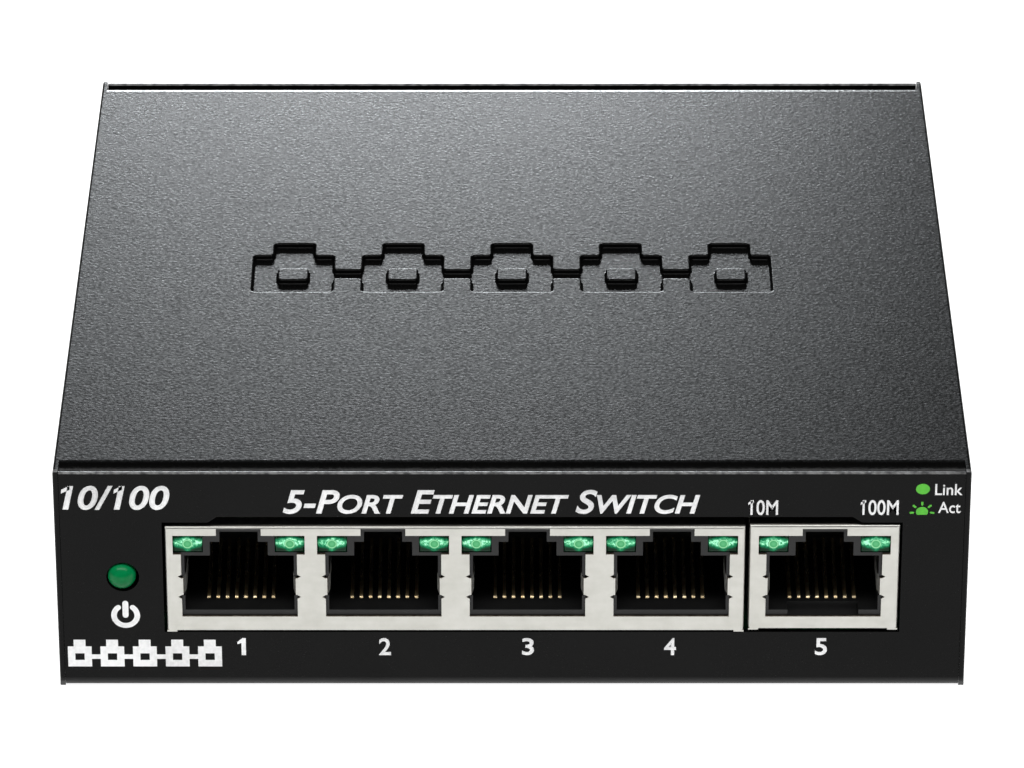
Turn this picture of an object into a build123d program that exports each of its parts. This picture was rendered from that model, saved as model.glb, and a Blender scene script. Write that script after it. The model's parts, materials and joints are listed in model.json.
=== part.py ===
from build123d import *

import os

# Five-port desktop network switch: a folded steel case, one circuit board, a four-port
# jack, a single jack, their indicator lamps and a DC inlet at the rear.
# Millimetres. +Z is up, the front panel faces -Y, and X runs to the right as seen from
# the front. The origin is on the resting plane, below the middle of the case.

# ---- Case ----
CASE_WIDTH = 100.0
CASE_DEPTH = 98.0
CASE_HEIGHT = 27.2
FOOT_STANDOUT = 0.8
SHEET = 0.6
FIT_GAP = 0.05
LIP_BEND = 2.1
LIP_DROP = 4.0
TRAY_BEND = 1.0
COVER_EDGE = 0.3
PANEL_DROP = 0.15
PANEL_EDGE = 0.2
STANDOUT = 0.93

HALF_WIDTH = CASE_WIDTH / 2
FRONT = -CASE_DEPTH / 2
REAR = CASE_DEPTH / 2
CASE_BOTTOM = FOOT_STANDOUT
CASE_TOP = CASE_BOTTOM + CASE_HEIGHT
FLOOR = CASE_BOTTOM + SHEET
CEILING = CASE_TOP - SHEET
LIP_EDGE = CASE_TOP - LIP_DROP
LIP_OUTER = REAR - SHEET - FIT_GAP
PANEL_TOP = CASE_TOP - PANEL_DROP
COVER_INSIDE = HALF_WIDTH - SHEET
TRAY_HALF = COVER_INSIDE - FIT_GAP
CORNER_CUT_Y = 0.4
CORNER_CUT_Z = 0.8

VENT_COUNT = 14
VENT_PITCH = 3.2
VENT_WIDTH = 1.6
VENT_LENGTH = 9.0
VENT_Z = 18.0

# Pressed sign on the top: the outlines of five sockets, linked in a row.
SIGN_COUNT = 5
SIGN_PITCH = 12.6
SIGN_FRONT = -6.5
SIGN_STEPS = ((9.2, 9.0), (4.6, 12.0))
SIGN_ISLAND = (3.6, 3.0)
SIGN_ISLAND_UP = 4.4
SIGN_LINK = 2.0
SIGN_PRESS = 0.55
SIGN_WALL = 0.5
SIGN_CORNER = 0.5
SIGN_RIM = 0.25
SIGN_FLOOR_CURVE = 0.2


# ---- Feet, wall keyholes and label ----
FOOT_X = 39.0
FOOT_Y = 38.0
FOOT_RADIUS = 5.0
FOOT_THICKNESS = 1.6
FOOT_EDGE = 0.4
DIMPLE_RADIUS = 5.6
DIMPLE_WALL = 0.6
KEYHOLE_SPACING = 60.0
KEYHOLE_Y = 8.0
KEYHOLE_RADIUS = 3.5
KEYHOLE_SLOT = 3.8
KEYHOLE_TRAVEL = 7.0
LABEL_SIZE = (46.0, 28.0)
LABEL_Y = -18.0
LABEL_THICKNESS = 0.1
LABEL_CORNER = 1.5

# ---- Side screws ----
SCREW_Y = 30.0
SCREW_Z = 12.0
TAB_HALF = 5.0
TAB_TOP = 15.5
HEAD_RADIUS = 2.7
SHANK_RADIUS = 1.45
SCREW_LENGTH = 4.8
HEAD_SINK = 0.05
COUNTERSINK = 2.85
TAB_HOLE = 2.3
NUT_FLATS = 5.5
NUT_LENGTH = 2.0
THREAD_GAP = 0.05
CROSS_WIDTH = 0.5
CROSS_LENGTH = 2.6
CROSS_DEPTH = 0.8

# ---- Circuit board ----
BOARD_BOTTOM = 6.4
BOARD_THICKNESS = 1.6
BOARD_TOP = BOARD_BOTTOM + BOARD_THICKNESS
BOARD_HALF = 46.4
BOARD_FRONT = -46.4
BOARD_REAR = 43.5
STANDOFF_X = 42.4
STANDOFF_YS = (-20.0, 24.0)
STANDOFF_RADIUS = 2.5
BOARD_HOLE = 1.7
PAN_RADIUS = 2.8
PAN_HEIGHT = 1.8
PAN_CURVE = 0.8
PIN_END = BOARD_BOTTOM - 1.2
LEAD_HOLE = 0.42
FILM_HALF = 29.0
FILM_YS = (-46.0, -2.0)
FILM_THICKNESS = 0.3

# ---- Jacks ----
PORT_PITCH = 15.8
GANG_CENTRE = -6.2
GANG_PORTS = tuple(GANG_CENTRE + PORT_PITCH * k for k in (-1.5, -0.5, 0.5, 1.5))
SINGLE_PORT = 34.2
ALL_PORTS = (*GANG_PORTS, SINGLE_PORT)
GANG_SHIELD_X = (-37.95, 25.5)
GANG_SHIELD_Z = (8.1, 21.15)
SINGLE_SHIELD_X = (26.0, 42.4)
SINGLE_SHIELD_Z = (8.35, 21.36)
SHIELD_SHEET = 0.25
SHIELD_EDGE = 0.3
SHIELD_REAR = -27.6
HOUSING_FRONT = FRONT + SHIELD_SHEET + 0.03
HOUSING_REAR = -29.9
HOUSING_BOTTOM = BOARD_TOP + 0.1
HOUSING_GAP = 0.05

# Opening in the shield's face: half widths, and the height where each band ends.
MOUTH_HALF = 6.35
MOUTH_BOTTOM = 9.82
LAMP_BAND_HALF = 7.225
LAMP_BAND_BOTTOM = 17.68
NOTCH_HALF = 2.45
LAMP_BAND_TOP = 20.03
NOTCH_TOP = 20.9

# Cavity in the insulator, with the latch channel above it.
CAVITY_HALF = 6.0
CAVITY_FLOOR = 10.53
CAVITY_TOP = 17.4
LATCH_HALF = 3.175
LATCH_TOP = 19.13
LATCH_NOTCH_HALF = 2.1
LATCH_NOTCH_TOP = 20.41
CAVITY_REAR = -35.5

# Jack lamps.
LAMP_INNER = 3.98
LAMP_OUTER = 7.22
LAMP_BOTTOM = 17.86
LAMP_TOP = 20.0
LAMP_FRONT = FRONT + 0.12
LAMP_REAR = -43.4
LAMP_CROWN = 0.35
LAMP_GAP = 0.05
LAMP_LEAD = 0.45
LAMP_LEAD_SPACING = 1.5
LAMP_LEAD_Z = 18.9
LAMP_LEAD_Y = -28.9

# Grounding fingers, folded in from each side of a mouth.
FINGER_BOTTOM = 12.55
FINGER_TOP = 14.65
FINGER_SHEET = 0.2
FINGER_REACH = 5.98
FINGER_YS = (-48.87, -47.6, -43.2, -41.2)
FINGER_POCKET = 6.55
FINGER_ROOM = 0.2
FINGER_ROOT = 0.1
FINGER_FLARE = 0.3
FINGER_POCKET_REAR = -40.4
CUT_HALF = 0.24
CUT_REACH = 0.4

# Spring contacts.
CONTACT_COUNT = 8
CONTACT_PITCH = 1.016
CONTACT_WIDTH = 0.36
CONTACT_THICKNESS = 0.3
CONTACT_SLOT = 0.52
CONTACT_FRONT = -45.75
CONTACT_LOW = 9.2
CONTACT_BEND = 10.3
CONTACT_TIP = (-36.8, 12.7)
CONTACT_RADII = [0.4, 0.45, 0.45]
TAIL_YS = (-33.2, -30.7)
SLOT_FRONT = -46.2
SLOT_REAR = -30.3

PEG_OFFSET = 5.7
PEG_Y = -39.5
PEG_RADIUS = 1.55
PEG_HOLE = 1.7
PEG_BOTTOM = BOARD_BOTTOM + 0.2
SLOT_ROOM = 0.35
GANG_TAB_XS = (GANG_SHIELD_X[0] + SHIELD_SHEET / 2, GANG_SHIELD_X[1] - SHIELD_SHEET / 2)
SINGLE_TAB_XS = (SINGLE_SHIELD_X[0] + SHIELD_SHEET / 2, SINGLE_SHIELD_X[1] - SHIELD_SHEET / 2)
GANG_TAB_Y = -38.0
SINGLE_TAB_Y = -33.0
TAB_LENGTH = 1.6
NUB_WIDTH = 1.1
NUB_DROP = 0.2
FOOT_INNER = 3.9
COMB_RECESS_Y = -46.9

# Opening in the front panel, raised over the middle, with sloped shoulders.
CUTOUT_X = (-38.26, 42.65)
CUTOUT_BOTTOM = 7.85
CUTOUT_TOP = 21.7
CUTOUT_RAISED = 22.4
SHOULDER_XS = (-33.2, -32.2, 37.2, 38.2)

# ---- Power lamp ----
LED_X = -42.8
LED_Z = 14.86
LED_RADIUS = 1.6
LED_TIP = FRONT - STANDOUT
LED_BASE = -43.9
LED_FLANGE = 1.9
LED_FLANGE_LENGTH = 1.0
LED_HOLE_X = -42.68
LED_HOLE_Z = 14.84
LED_HOLE = 1.8
HOLDER_REAR = -40.2
HOLDER_HALF = 2.5
HOLDER_TOP = 17.2
LED_LEAD_SPACING = 2.54
LED_LEAD = 0.5
LED_LEAD_Y = -39.6

# ---- DC inlet ----
DC_X = 28.0
DC_Z = 14.4
DC_HALF = 4.6
DC_TOP = 19.0
DC_FRONT = 34.5
DC_BACK = REAR - SHEET - 0.1
DC_NOSE = 4.1
DC_CORNER = 1.0
DC_PANEL_HOLE = 4.35
DC_BORE = 3.15
DC_BORE_END = 39.0
DC_PIN = 1.05
DC_PIN_GAP = 0.03
DC_PIN_ROOT = 1.5
DC_PIN_TIP = 47.8
DC_PIN_ROUND = 0.6
DC_SPRING_HALF = 1.2
DC_SPRING_SHEET = 0.3
DC_SPRING_POCKET = (39.4, 47.4)
DC_SPRING_PATH = ((40.5, PIN_END), (40.5, 10.9), (43.4, 12.0), (46.8, 10.9))
DC_TERMINAL_HALF = 1.2
DC_TERMINAL_SHEET = 0.4
DC_TERMINAL_YS = (33.9, 40.5)
LOCK_SLOT_X = -28.0
LOCK_SLOT_SIZE = (7.0, 3.0)
LOCK_SLOT_CORNER = 0.6

# ---- Parts on the board: centre, size and height above the board ----
SEAT = 0.1
SWITCH_IC_AT = (-4.0, 6.0)
SWITCH_IC_SIZE = (20.0, 14.0, 2.4)
QUAD_AT = (-6.2, -17.0)
QUAD_SIZE = (28.4, 9.6, 5.9)
SINGLE_AT = (30.0, -17.0)
SINGLE_SIZE = (12.7, 7.0, 5.7)
EEPROM_AT = (17.0, 6.0)
EEPROM_SIZE = (4.9, 3.9, 1.6)
CRYSTAL_AT = (-24.0, 8.0)
CRYSTAL_SIZE = (11.0, 4.6, 3.5)
REGULATOR_AT = (22.0, 19.0)
REGULATOR_SIZE = (6.5, 3.5, 1.7)
INDUCTOR_AT = (34.0, 12.0)
INDUCTOR_SIZE = (7.0, 7.0, 4.0)
DIODE_AT = (34.0, 24.0)
DIODE_SIZE = (4.3, 2.7, 2.2)
FUSE_AT = (16.0, 38.0)
FUSE_RADIUS = 3.4
FUSE_THICKNESS = 2.2
CAN_AT = ((4.0, 36.0), (-6.0, 36.0))
CAN_RADIUS = 3.15
CAN_HEIGHT = 11.0
CAN_LEAD_OFFSET = 1.25
FUSE_LEAD_OFFSET = 2.54
CRYSTAL_LEAD_OFFSET = 2.44
FUSE_LIFT = 1.0
FUSE_EDGE = 0.5
CAN_EDGE = 0.6
CRYSTAL_EDGE = 0.5
IC_CORNER = 1.2
PACKAGE_EDGE = 0.4
DIODE_EDGE = 0.3
INDUCTOR_CORNER = 1.5
FINE_PITCH = 0.8
WIDE_PITCH = 1.27
REGULATOR_PITCH = 2.3
SWITCH_IC_LEADS = (24, 16)
QUAD_LEADS = 20
SINGLE_LEADS = 8
EEPROM_LEADS = 4
REGULATOR_LEADS = 3
LEAD_WIDTH = 0.35
LEAD_SHEET = 0.2
GULL_WING = ((0.0, 1.2), (0.5, 1.2), (0.8, 0.12), (1.5, 0.12))
CHIP_CAPACITOR_SIZE = (2.0, 1.25, 0.9)
CHIP_RESISTOR_SIZE = (1.6, 0.8, 0.5)
CHIP_CAPACITORS = [(x, 18.0) for x in (-14.0, -10.0, -6.0, -2.0, 2.0, 6.0)]
CHIP_RESISTORS = [(x, -8.0) for x in (-20.0, -16.0, -12.0, -8.0, -4.0, 0.0, 4.0, 8.0)]

os.makedirs("parts", exist_ok=True)


def hand_over(piece, label):
    piece.part.label = label
    export_step(piece.part, f"parts/{label}.step")


def block(xs, ys, zs, mode=Mode.ADD):
    """Adds or removes a box between the given limits."""
    middle = [(low + high) / 2 for low, high in (xs, ys, zs)]
    with Locations(tuple(middle)):
        Box(xs[1] - xs[0], ys[1] - ys[0], zs[1] - zs[0], mode=mode)


def both_sides(value):
    """The same distance on both sides of zero."""
    return (-value, value)


def pins_at(places, size, zs):
    """Adds square pins at the given places, between two heights."""
    half = size / 2
    for x, y in places:
        block((x - half, x + half), (y - half, y + half), zs)


def draw_sign(margin=0.0):
    """Draws the pressed sign, grown by a margin, in the current sketch."""
    centres = [(k - (SIGN_COUNT - 1) / 2) * SIGN_PITCH for k in range(SIGN_COUNT)]
    for width, height in SIGN_STEPS:
        with Locations(*((x, SIGN_FRONT + height / 2) for x in centres)):
            Rectangle(width + 2 * margin, height + 2 * margin)
    island_y = SIGN_FRONT + SIGN_ISLAND_UP
    with Locations((0, island_y)):
        Rectangle((SIGN_COUNT - 1) * SIGN_PITCH, SIGN_LINK + 2 * margin)
    with Locations(*((x, island_y) for x in centres)):
        island = [side - 2 * margin for side in SIGN_ISLAND]
        Rectangle(*island, mode=Mode.SUBTRACT)


def draw_mouth():
    """Draws a jack's opening in its shield, about x = 0, in the current sketch."""
    half_outline = (
        (0, MOUTH_BOTTOM),
        (MOUTH_HALF, MOUTH_BOTTOM),
        (MOUTH_HALF, LAMP_BAND_BOTTOM),
        (LAMP_BAND_HALF, LAMP_BAND_BOTTOM),
        (LAMP_BAND_HALF, LAMP_BAND_TOP),
        (NOTCH_HALF, LAMP_BAND_TOP),
        (NOTCH_HALF, NOTCH_TOP),
        (0, NOTCH_TOP),
    )
    Polygon(*half_outline, align=None)
    mirror(about=Plane.YZ)


def draw_cavity():
    """Draws a jack's cavity and latch channel, about x = 0, in the current sketch."""
    half_outline = (
        (0, CAVITY_FLOOR),
        (CAVITY_HALF, CAVITY_FLOOR),
        (CAVITY_HALF, CAVITY_TOP),
        (LATCH_HALF, CAVITY_TOP),
        (LATCH_HALF, LATCH_TOP),
        (LATCH_NOTCH_HALF, LATCH_TOP),
        (LATCH_NOTCH_HALF, LATCH_NOTCH_TOP),
        (0, LATCH_NOTCH_TOP),
    )
    Polygon(*half_outline, align=None)
    mirror(about=Plane.YZ)


# ==== Case ====

with BuildPart() as top_cover:
    with BuildSketch(Plane.YZ):
        with Locations((0, (CASE_BOTTOM + CASE_TOP) / 2)):
            Rectangle(CASE_DEPTH, CASE_HEIGHT)
    extrude(amount=HALF_WIDTH, both=True)
    for side_face in (top_cover.faces().sort_by(Axis.X)[0], top_cover.faces().sort_by(Axis.X)[-1]):
        fillet(side_face.edges().sort_by(Axis.Z)[1:], COVER_EDGE)
    # Between the side walls, the top bends down just behind each panel.
    with BuildSketch(Plane.YZ):
        with Locations((0, (CASE_BOTTOM + CASE_TOP) / 2)):
            Rectangle(CASE_DEPTH + 2, CASE_HEIGHT + 2)
        with BuildSketch(Plane.YZ, mode=Mode.SUBTRACT) as outer_profile:
            with Locations((0, (CASE_BOTTOM + CASE_TOP) / 2)):
                Rectangle(2 * LIP_OUTER, CASE_HEIGHT)
            fillet(outer_profile.vertices().group_by(Axis.Y)[-1], LIP_BEND)
    extrude(amount=COVER_INSIDE, both=True, mode=Mode.SUBTRACT)
    # Hollow inside.
    with BuildSketch(Plane.YZ) as inner_profile:
        with Locations((0, (CASE_BOTTOM + CEILING) / 2)):
            Rectangle(2 * (LIP_OUTER - SHEET), CASE_HEIGHT - SHEET)
        fillet(inner_profile.vertices().group_by(Axis.Y)[-1], LIP_BEND - SHEET)
    extrude(amount=COVER_INSIDE, both=True, mode=Mode.SUBTRACT)
    block(both_sides(COVER_INSIDE), (FRONT - 1, REAR + 1), (CASE_BOTTOM - 1, LIP_EDGE), Mode.SUBTRACT)
    # Pressed sign: a pocket above, and the same shape standing out below.
    with BuildSketch(Plane.XY.offset(CEILING - SIGN_PRESS)):
        draw_sign(SIGN_WALL)
    extrude(amount=SIGN_PRESS)
    with BuildSketch(Plane.XY.offset(CASE_TOP - SIGN_PRESS)) as sign_pocket:
        draw_sign()
        fillet(sign_pocket.vertices(), SIGN_CORNER)
    extrude(amount=SIGN_PRESS, mode=Mode.SUBTRACT)
    top_faces = top_cover.faces().filter_by(Axis.Z).group_by(Axis.Z)[-1].sort_by(SortBy.AREA)
    rim_edges = [edge for island in top_faces[:-1] for edge in island.edges()]
    fillet([*top_faces[-1].inner_wires()[0].edges(), *rim_edges], SIGN_RIM)
    sign_floor = CASE_TOP - SIGN_PRESS
    near_floor = (sign_floor - FIT_GAP / 2, sign_floor + FIT_GAP / 2)
    floor_face = top_cover.faces().filter_by(Axis.Z).filter_by_position(Axis.Z, *near_floor)[0]
    fillet(floor_face.edges(), SIGN_FLOOR_CURVE)
    # Vents through both side walls.
    with BuildSketch(Plane.YZ):
        with Locations((0, VENT_Z)):
            with GridLocations(VENT_PITCH, 1, VENT_COUNT, 1):
                SlotOverall(VENT_LENGTH, VENT_WIDTH, rotation=90)
    extrude(amount=HALF_WIDTH, both=True, mode=Mode.SUBTRACT)
    # Countersunk holes for the side screws.
    for y in both_sides(SCREW_Y):
        for side in (-1, 1):
            with BuildSketch(Plane.XZ.offset(-y)):
                with BuildLine():
                    Polyline(
                        (side * HALF_WIDTH, SCREW_Z),
                        (side * HALF_WIDTH, SCREW_Z + COUNTERSINK),
                        (side * COVER_INSIDE, SCREW_Z + COUNTERSINK - SHEET),
                        (side * COVER_INSIDE, SCREW_Z),
                        close=True,
                    )
                make_face()
            revolve(axis=Axis((0, y, SCREW_Z), (1, 0, 0)), mode=Mode.SUBTRACT)
    # Clipped lower corners of the side walls.
    for end, inward in ((FRONT, 1), (REAR, -1)):
        with BuildSketch(Plane.YZ):
            with BuildLine():
                Polyline(
                    (end, CASE_BOTTOM),
                    (end + inward * CORNER_CUT_Y, CASE_BOTTOM),
                    (end, CASE_BOTTOM + CORNER_CUT_Z),
                    close=True,
                )
            make_face()
        extrude(amount=HALF_WIDTH, both=True, mode=Mode.SUBTRACT)
hand_over(top_cover, "top_cover")

with BuildPart() as base_tray:
    with BuildSketch(Plane.YZ) as outer_profile:
        with Locations((0, (CASE_BOTTOM + PANEL_TOP) / 2)):
            Rectangle(CASE_DEPTH, PANEL_TOP - CASE_BOTTOM)
        fillet(outer_profile.vertices().group_by(Axis.Y)[0], TRAY_BEND)
    extrude(amount=TRAY_HALF, both=True)
    with BuildSketch(Plane.YZ) as inner_profile:
        with Locations((0, (FLOOR + CASE_TOP) / 2)):
            Rectangle(CASE_DEPTH - 2 * SHEET, CASE_TOP - FLOOR)
        fillet(inner_profile.vertices().group_by(Axis.Y)[0], TRAY_BEND - SHEET)
    extrude(amount=CASE_WIDTH, both=True, mode=Mode.SUBTRACT)
    fillet(base_tray.edges().filter_by(Axis.X).group_by(Axis.Z)[-1], PANEL_EDGE)
    # Upright tabs for the side screws.
    for side in (-1, 1):
        tab_x = sorted((side * TRAY_HALF, side * (TRAY_HALF - SHEET)))
        for y in both_sides(SCREW_Y):
            block(tab_x, (y - TAB_HALF, y + TAB_HALF), (CASE_BOTTOM, TAB_TOP))
    with BuildSketch(Plane.YZ):
        with Locations(*((y, SCREW_Z) for y in both_sides(SCREW_Y))):
            Circle(TAB_HOLE)
    extrude(amount=TRAY_HALF, both=True, mode=Mode.SUBTRACT)
    # Round dimples pressed up to hold the feet.
    feet = [(x, y) for x in both_sides(FOOT_X) for y in both_sides(FOOT_Y)]
    with BuildSketch(Plane.XY.offset(CASE_BOTTOM)):
        with Locations(*feet):
            Circle(DIMPLE_RADIUS + DIMPLE_WALL)
    extrude(amount=FOOT_THICKNESS + SHEET - CASE_BOTTOM)
    with BuildSketch(Plane.XY):
        with Locations(*feet):
            Circle(DIMPLE_RADIUS)
    extrude(amount=FOOT_THICKNESS, mode=Mode.SUBTRACT)
    # Keyholes for hanging on two wall screws.
    with BuildSketch(Plane.XY):
        with Locations(*((x, KEYHOLE_Y) for x in both_sides(KEYHOLE_SPACING / 2))):
            Circle(KEYHOLE_RADIUS)
            with Locations((0, KEYHOLE_TRAVEL / 2)):
                SlotCenterToCenter(KEYHOLE_TRAVEL, KEYHOLE_SLOT, rotation=90)
    extrude(amount=FLOOR, mode=Mode.SUBTRACT)
    # Opening for both jacks, and the hole for the power lamp.
    with BuildSketch(Plane.XZ.offset(-FRONT - SHEET)):
        with BuildLine():
            Polyline(
                (CUTOUT_X[0], CUTOUT_BOTTOM),
                (CUTOUT_X[1], CUTOUT_BOTTOM),
                (CUTOUT_X[1], CUTOUT_TOP),
                (SHOULDER_XS[3], CUTOUT_TOP),
                (SHOULDER_XS[2], CUTOUT_RAISED),
                (SHOULDER_XS[1], CUTOUT_RAISED),
                (SHOULDER_XS[0], CUTOUT_TOP),
                (CUTOUT_X[0], CUTOUT_TOP),
                close=True,
            )
        make_face()
        with Locations((LED_HOLE_X, LED_HOLE_Z)):
            Circle(LED_HOLE)
    extrude(amount=SHEET, mode=Mode.SUBTRACT)
    # Rear panel: DC inlet hole and lock slot.
    with BuildSketch(Plane.XZ.offset(-REAR)):
        with Locations((DC_X, DC_Z)):
            Circle(DC_PANEL_HOLE)
        with Locations((LOCK_SLOT_X, DC_Z)):
            RectangleRounded(*LOCK_SLOT_SIZE, LOCK_SLOT_CORNER)
    extrude(amount=SHEET, mode=Mode.SUBTRACT)
hand_over(base_tray, "base_tray")

with BuildPart() as cover_screws:
    for side in (-1, 1):
        head = side * (HALF_WIDTH - HEAD_SINK)
        neck = head - side * (HEAD_RADIUS - SHANK_RADIUS)
        tip = head - side * SCREW_LENGTH
        for y in both_sides(SCREW_Y):
            with BuildSketch(Plane.XZ.offset(-y)):
                with BuildLine():
                    Polyline(
                        (head, SCREW_Z),
                        (head, SCREW_Z + HEAD_RADIUS),
                        (neck, SCREW_Z + SHANK_RADIUS),
                        (tip, SCREW_Z + SHANK_RADIUS),
                        (tip, SCREW_Z),
                        close=True,
                    )
                make_face()
            revolve(axis=Axis((0, y, SCREW_Z), (1, 0, 0)))
            for width, height in ((CROSS_WIDTH, CROSS_LENGTH), (CROSS_LENGTH, CROSS_WIDTH)):
                with Locations((head, y, SCREW_Z)):
                    Box(2 * CROSS_DEPTH, width, height, mode=Mode.SUBTRACT)
hand_over(cover_screws, "cover_screws")

with BuildPart() as clinch_nuts:
    for side in (-1, 1):
        seat = side * (TRAY_HALF - SHEET)
        for y in both_sides(SCREW_Y):
            with BuildSketch(Plane(origin=(seat, y, SCREW_Z), z_dir=(-side, 0, 0))):
                RegularPolygon(NUT_FLATS / 2, 6, major_radius=False)
                Circle(SHANK_RADIUS + THREAD_GAP, mode=Mode.SUBTRACT)
            extrude(amount=NUT_LENGTH)
hand_over(clinch_nuts, "clinch_nuts")

for row, y in (("front", -FOOT_Y), ("rear", FOOT_Y)):
    for column, x in (("left", -FOOT_X), ("right", FOOT_X)):
        with BuildPart() as rubber_foot:
            with BuildSketch(Plane.XY):
                with Locations((x, y)):
                    Circle(FOOT_RADIUS)
            extrude(amount=FOOT_THICKNESS)
            fillet(rubber_foot.edges().sort_by(Axis.Z)[0], FOOT_EDGE)
        hand_over(rubber_foot, f"rubber_foot_{row}_{column}")

with BuildPart() as underside_label:
    with BuildSketch(Plane.XY.offset(CASE_BOTTOM - LABEL_THICKNESS)):
        with Locations((0, LABEL_Y)):
            RectangleRounded(*LABEL_SIZE, LABEL_CORNER)
    extrude(amount=LABEL_THICKNESS)
hand_over(underside_label, "underside_label")

# ==== Board and its mounting ====

standoffs = [(x, y) for x in both_sides(STANDOFF_X) for y in STANDOFF_YS]

with BuildPart() as pcb_standoffs:
    with BuildSketch(Plane.XY.offset(FLOOR)):
        with Locations(*standoffs):
            Circle(STANDOFF_RADIUS)
            Circle(SHANK_RADIUS + THREAD_GAP, mode=Mode.SUBTRACT)
    extrude(amount=BOARD_BOTTOM - FLOOR)
hand_over(pcb_standoffs, "pcb_standoffs")

with BuildPart() as pcb_screws:
    with BuildSketch(Plane.XY.offset(FLOOR + THREAD_GAP)):
        with Locations(*standoffs):
            Circle(SHANK_RADIUS)
    extrude(amount=BOARD_TOP - FLOOR - THREAD_GAP)
    with BuildSketch(Plane.XY.offset(BOARD_TOP)):
        with Locations(*standoffs):
            Circle(PAN_RADIUS)
    extrude(amount=PAN_HEIGHT)
    fillet(pcb_screws.edges().group_by(Axis.Z)[-1], PAN_CURVE)
    with BuildSketch(Plane.XY.offset(BOARD_TOP + PAN_HEIGHT - CROSS_DEPTH)):
        with Locations(*standoffs):
            Rectangle(CROSS_LENGTH, CROSS_WIDTH)
            Rectangle(CROSS_WIDTH, CROSS_LENGTH)
    extrude(amount=CROSS_DEPTH, mode=Mode.SUBTRACT)
hand_over(pcb_screws, "pcb_screws")

with BuildPart() as insulator_film:
    block(both_sides(FILM_HALF), FILM_YS, (FLOOR, FLOOR + FILM_THICKNESS))
hand_over(insulator_film, "insulator_film")


def contact_xs(port):
    """The contacts of one jack, from left to right."""
    middle = (CONTACT_COUNT - 1) / 2
    return [port + (k - middle) * CONTACT_PITCH for k in range(CONTACT_COUNT)]


def lamp_lead_xs(port, side):
    """Both leads of one jack lamp."""
    centre = port + side * (LAMP_INNER + LAMP_OUTER) / 2
    return (centre - LAMP_LEAD_SPACING / 2, centre + LAMP_LEAD_SPACING / 2)


contact_holes = [(x, TAIL_YS[k % 2]) for port in ALL_PORTS for k, x in enumerate(contact_xs(port))]
lamp_holes = [(x, LAMP_LEAD_Y) for port in ALL_PORTS for side in (-1, 1) for x in lamp_lead_xs(port, side)]
led_leads = [(LED_X + side * LED_LEAD_SPACING / 2, LED_LEAD_Y) for side in (-1, 1)]
peg_places = [(port + side * PEG_OFFSET, PEG_Y) for port in ALL_PORTS for side in (-1, 1)]
gang_tabs = [(x, GANG_TAB_Y) for x in GANG_TAB_XS]
single_tabs = [(x, SINGLE_TAB_Y) for x in SINGLE_TAB_XS]
can_leads = [(x + side * CAN_LEAD_OFFSET, y) for x, y in CAN_AT for side in (-1, 1)]
fuse_leads = [(FUSE_AT[0] + side * FUSE_LEAD_OFFSET, FUSE_AT[1]) for side in (-1, 1)]
crystal_leads_at = [(CRYSTAL_AT[0] + side * CRYSTAL_LEAD_OFFSET, CRYSTAL_AT[1]) for side in (-1, 1)]
lead_holes = contact_holes + lamp_holes + led_leads + can_leads + fuse_leads + crystal_leads_at

with BuildPart() as circuit_board:
    with BuildSketch(Plane.XY.offset(BOARD_BOTTOM)):
        with Locations((0, (BOARD_FRONT + BOARD_REAR) / 2)):
            Rectangle(2 * BOARD_HALF, BOARD_REAR - BOARD_FRONT)
        with Locations(*standoffs):
            Circle(BOARD_HOLE, mode=Mode.SUBTRACT)
        with Locations(*peg_places):
            Circle(PEG_HOLE, mode=Mode.SUBTRACT)
        with Locations(*lead_holes):
            Circle(LEAD_HOLE, mode=Mode.SUBTRACT)
        with Locations(*(gang_tabs + single_tabs)):
            Rectangle(SHIELD_SHEET + SLOT_ROOM, TAB_LENGTH + SLOT_ROOM, mode=Mode.SUBTRACT)
        with Locations(*((DC_X, y) for y in DC_TERMINAL_YS)):
            Rectangle(
                2 * DC_TERMINAL_HALF + SLOT_ROOM, DC_TERMINAL_SHEET + SLOT_ROOM, mode=Mode.SUBTRACT
            )
    extrude(amount=BOARD_THICKNESS)
hand_over(circuit_board, "circuit_board")

# ==== Jacks ====


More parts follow.
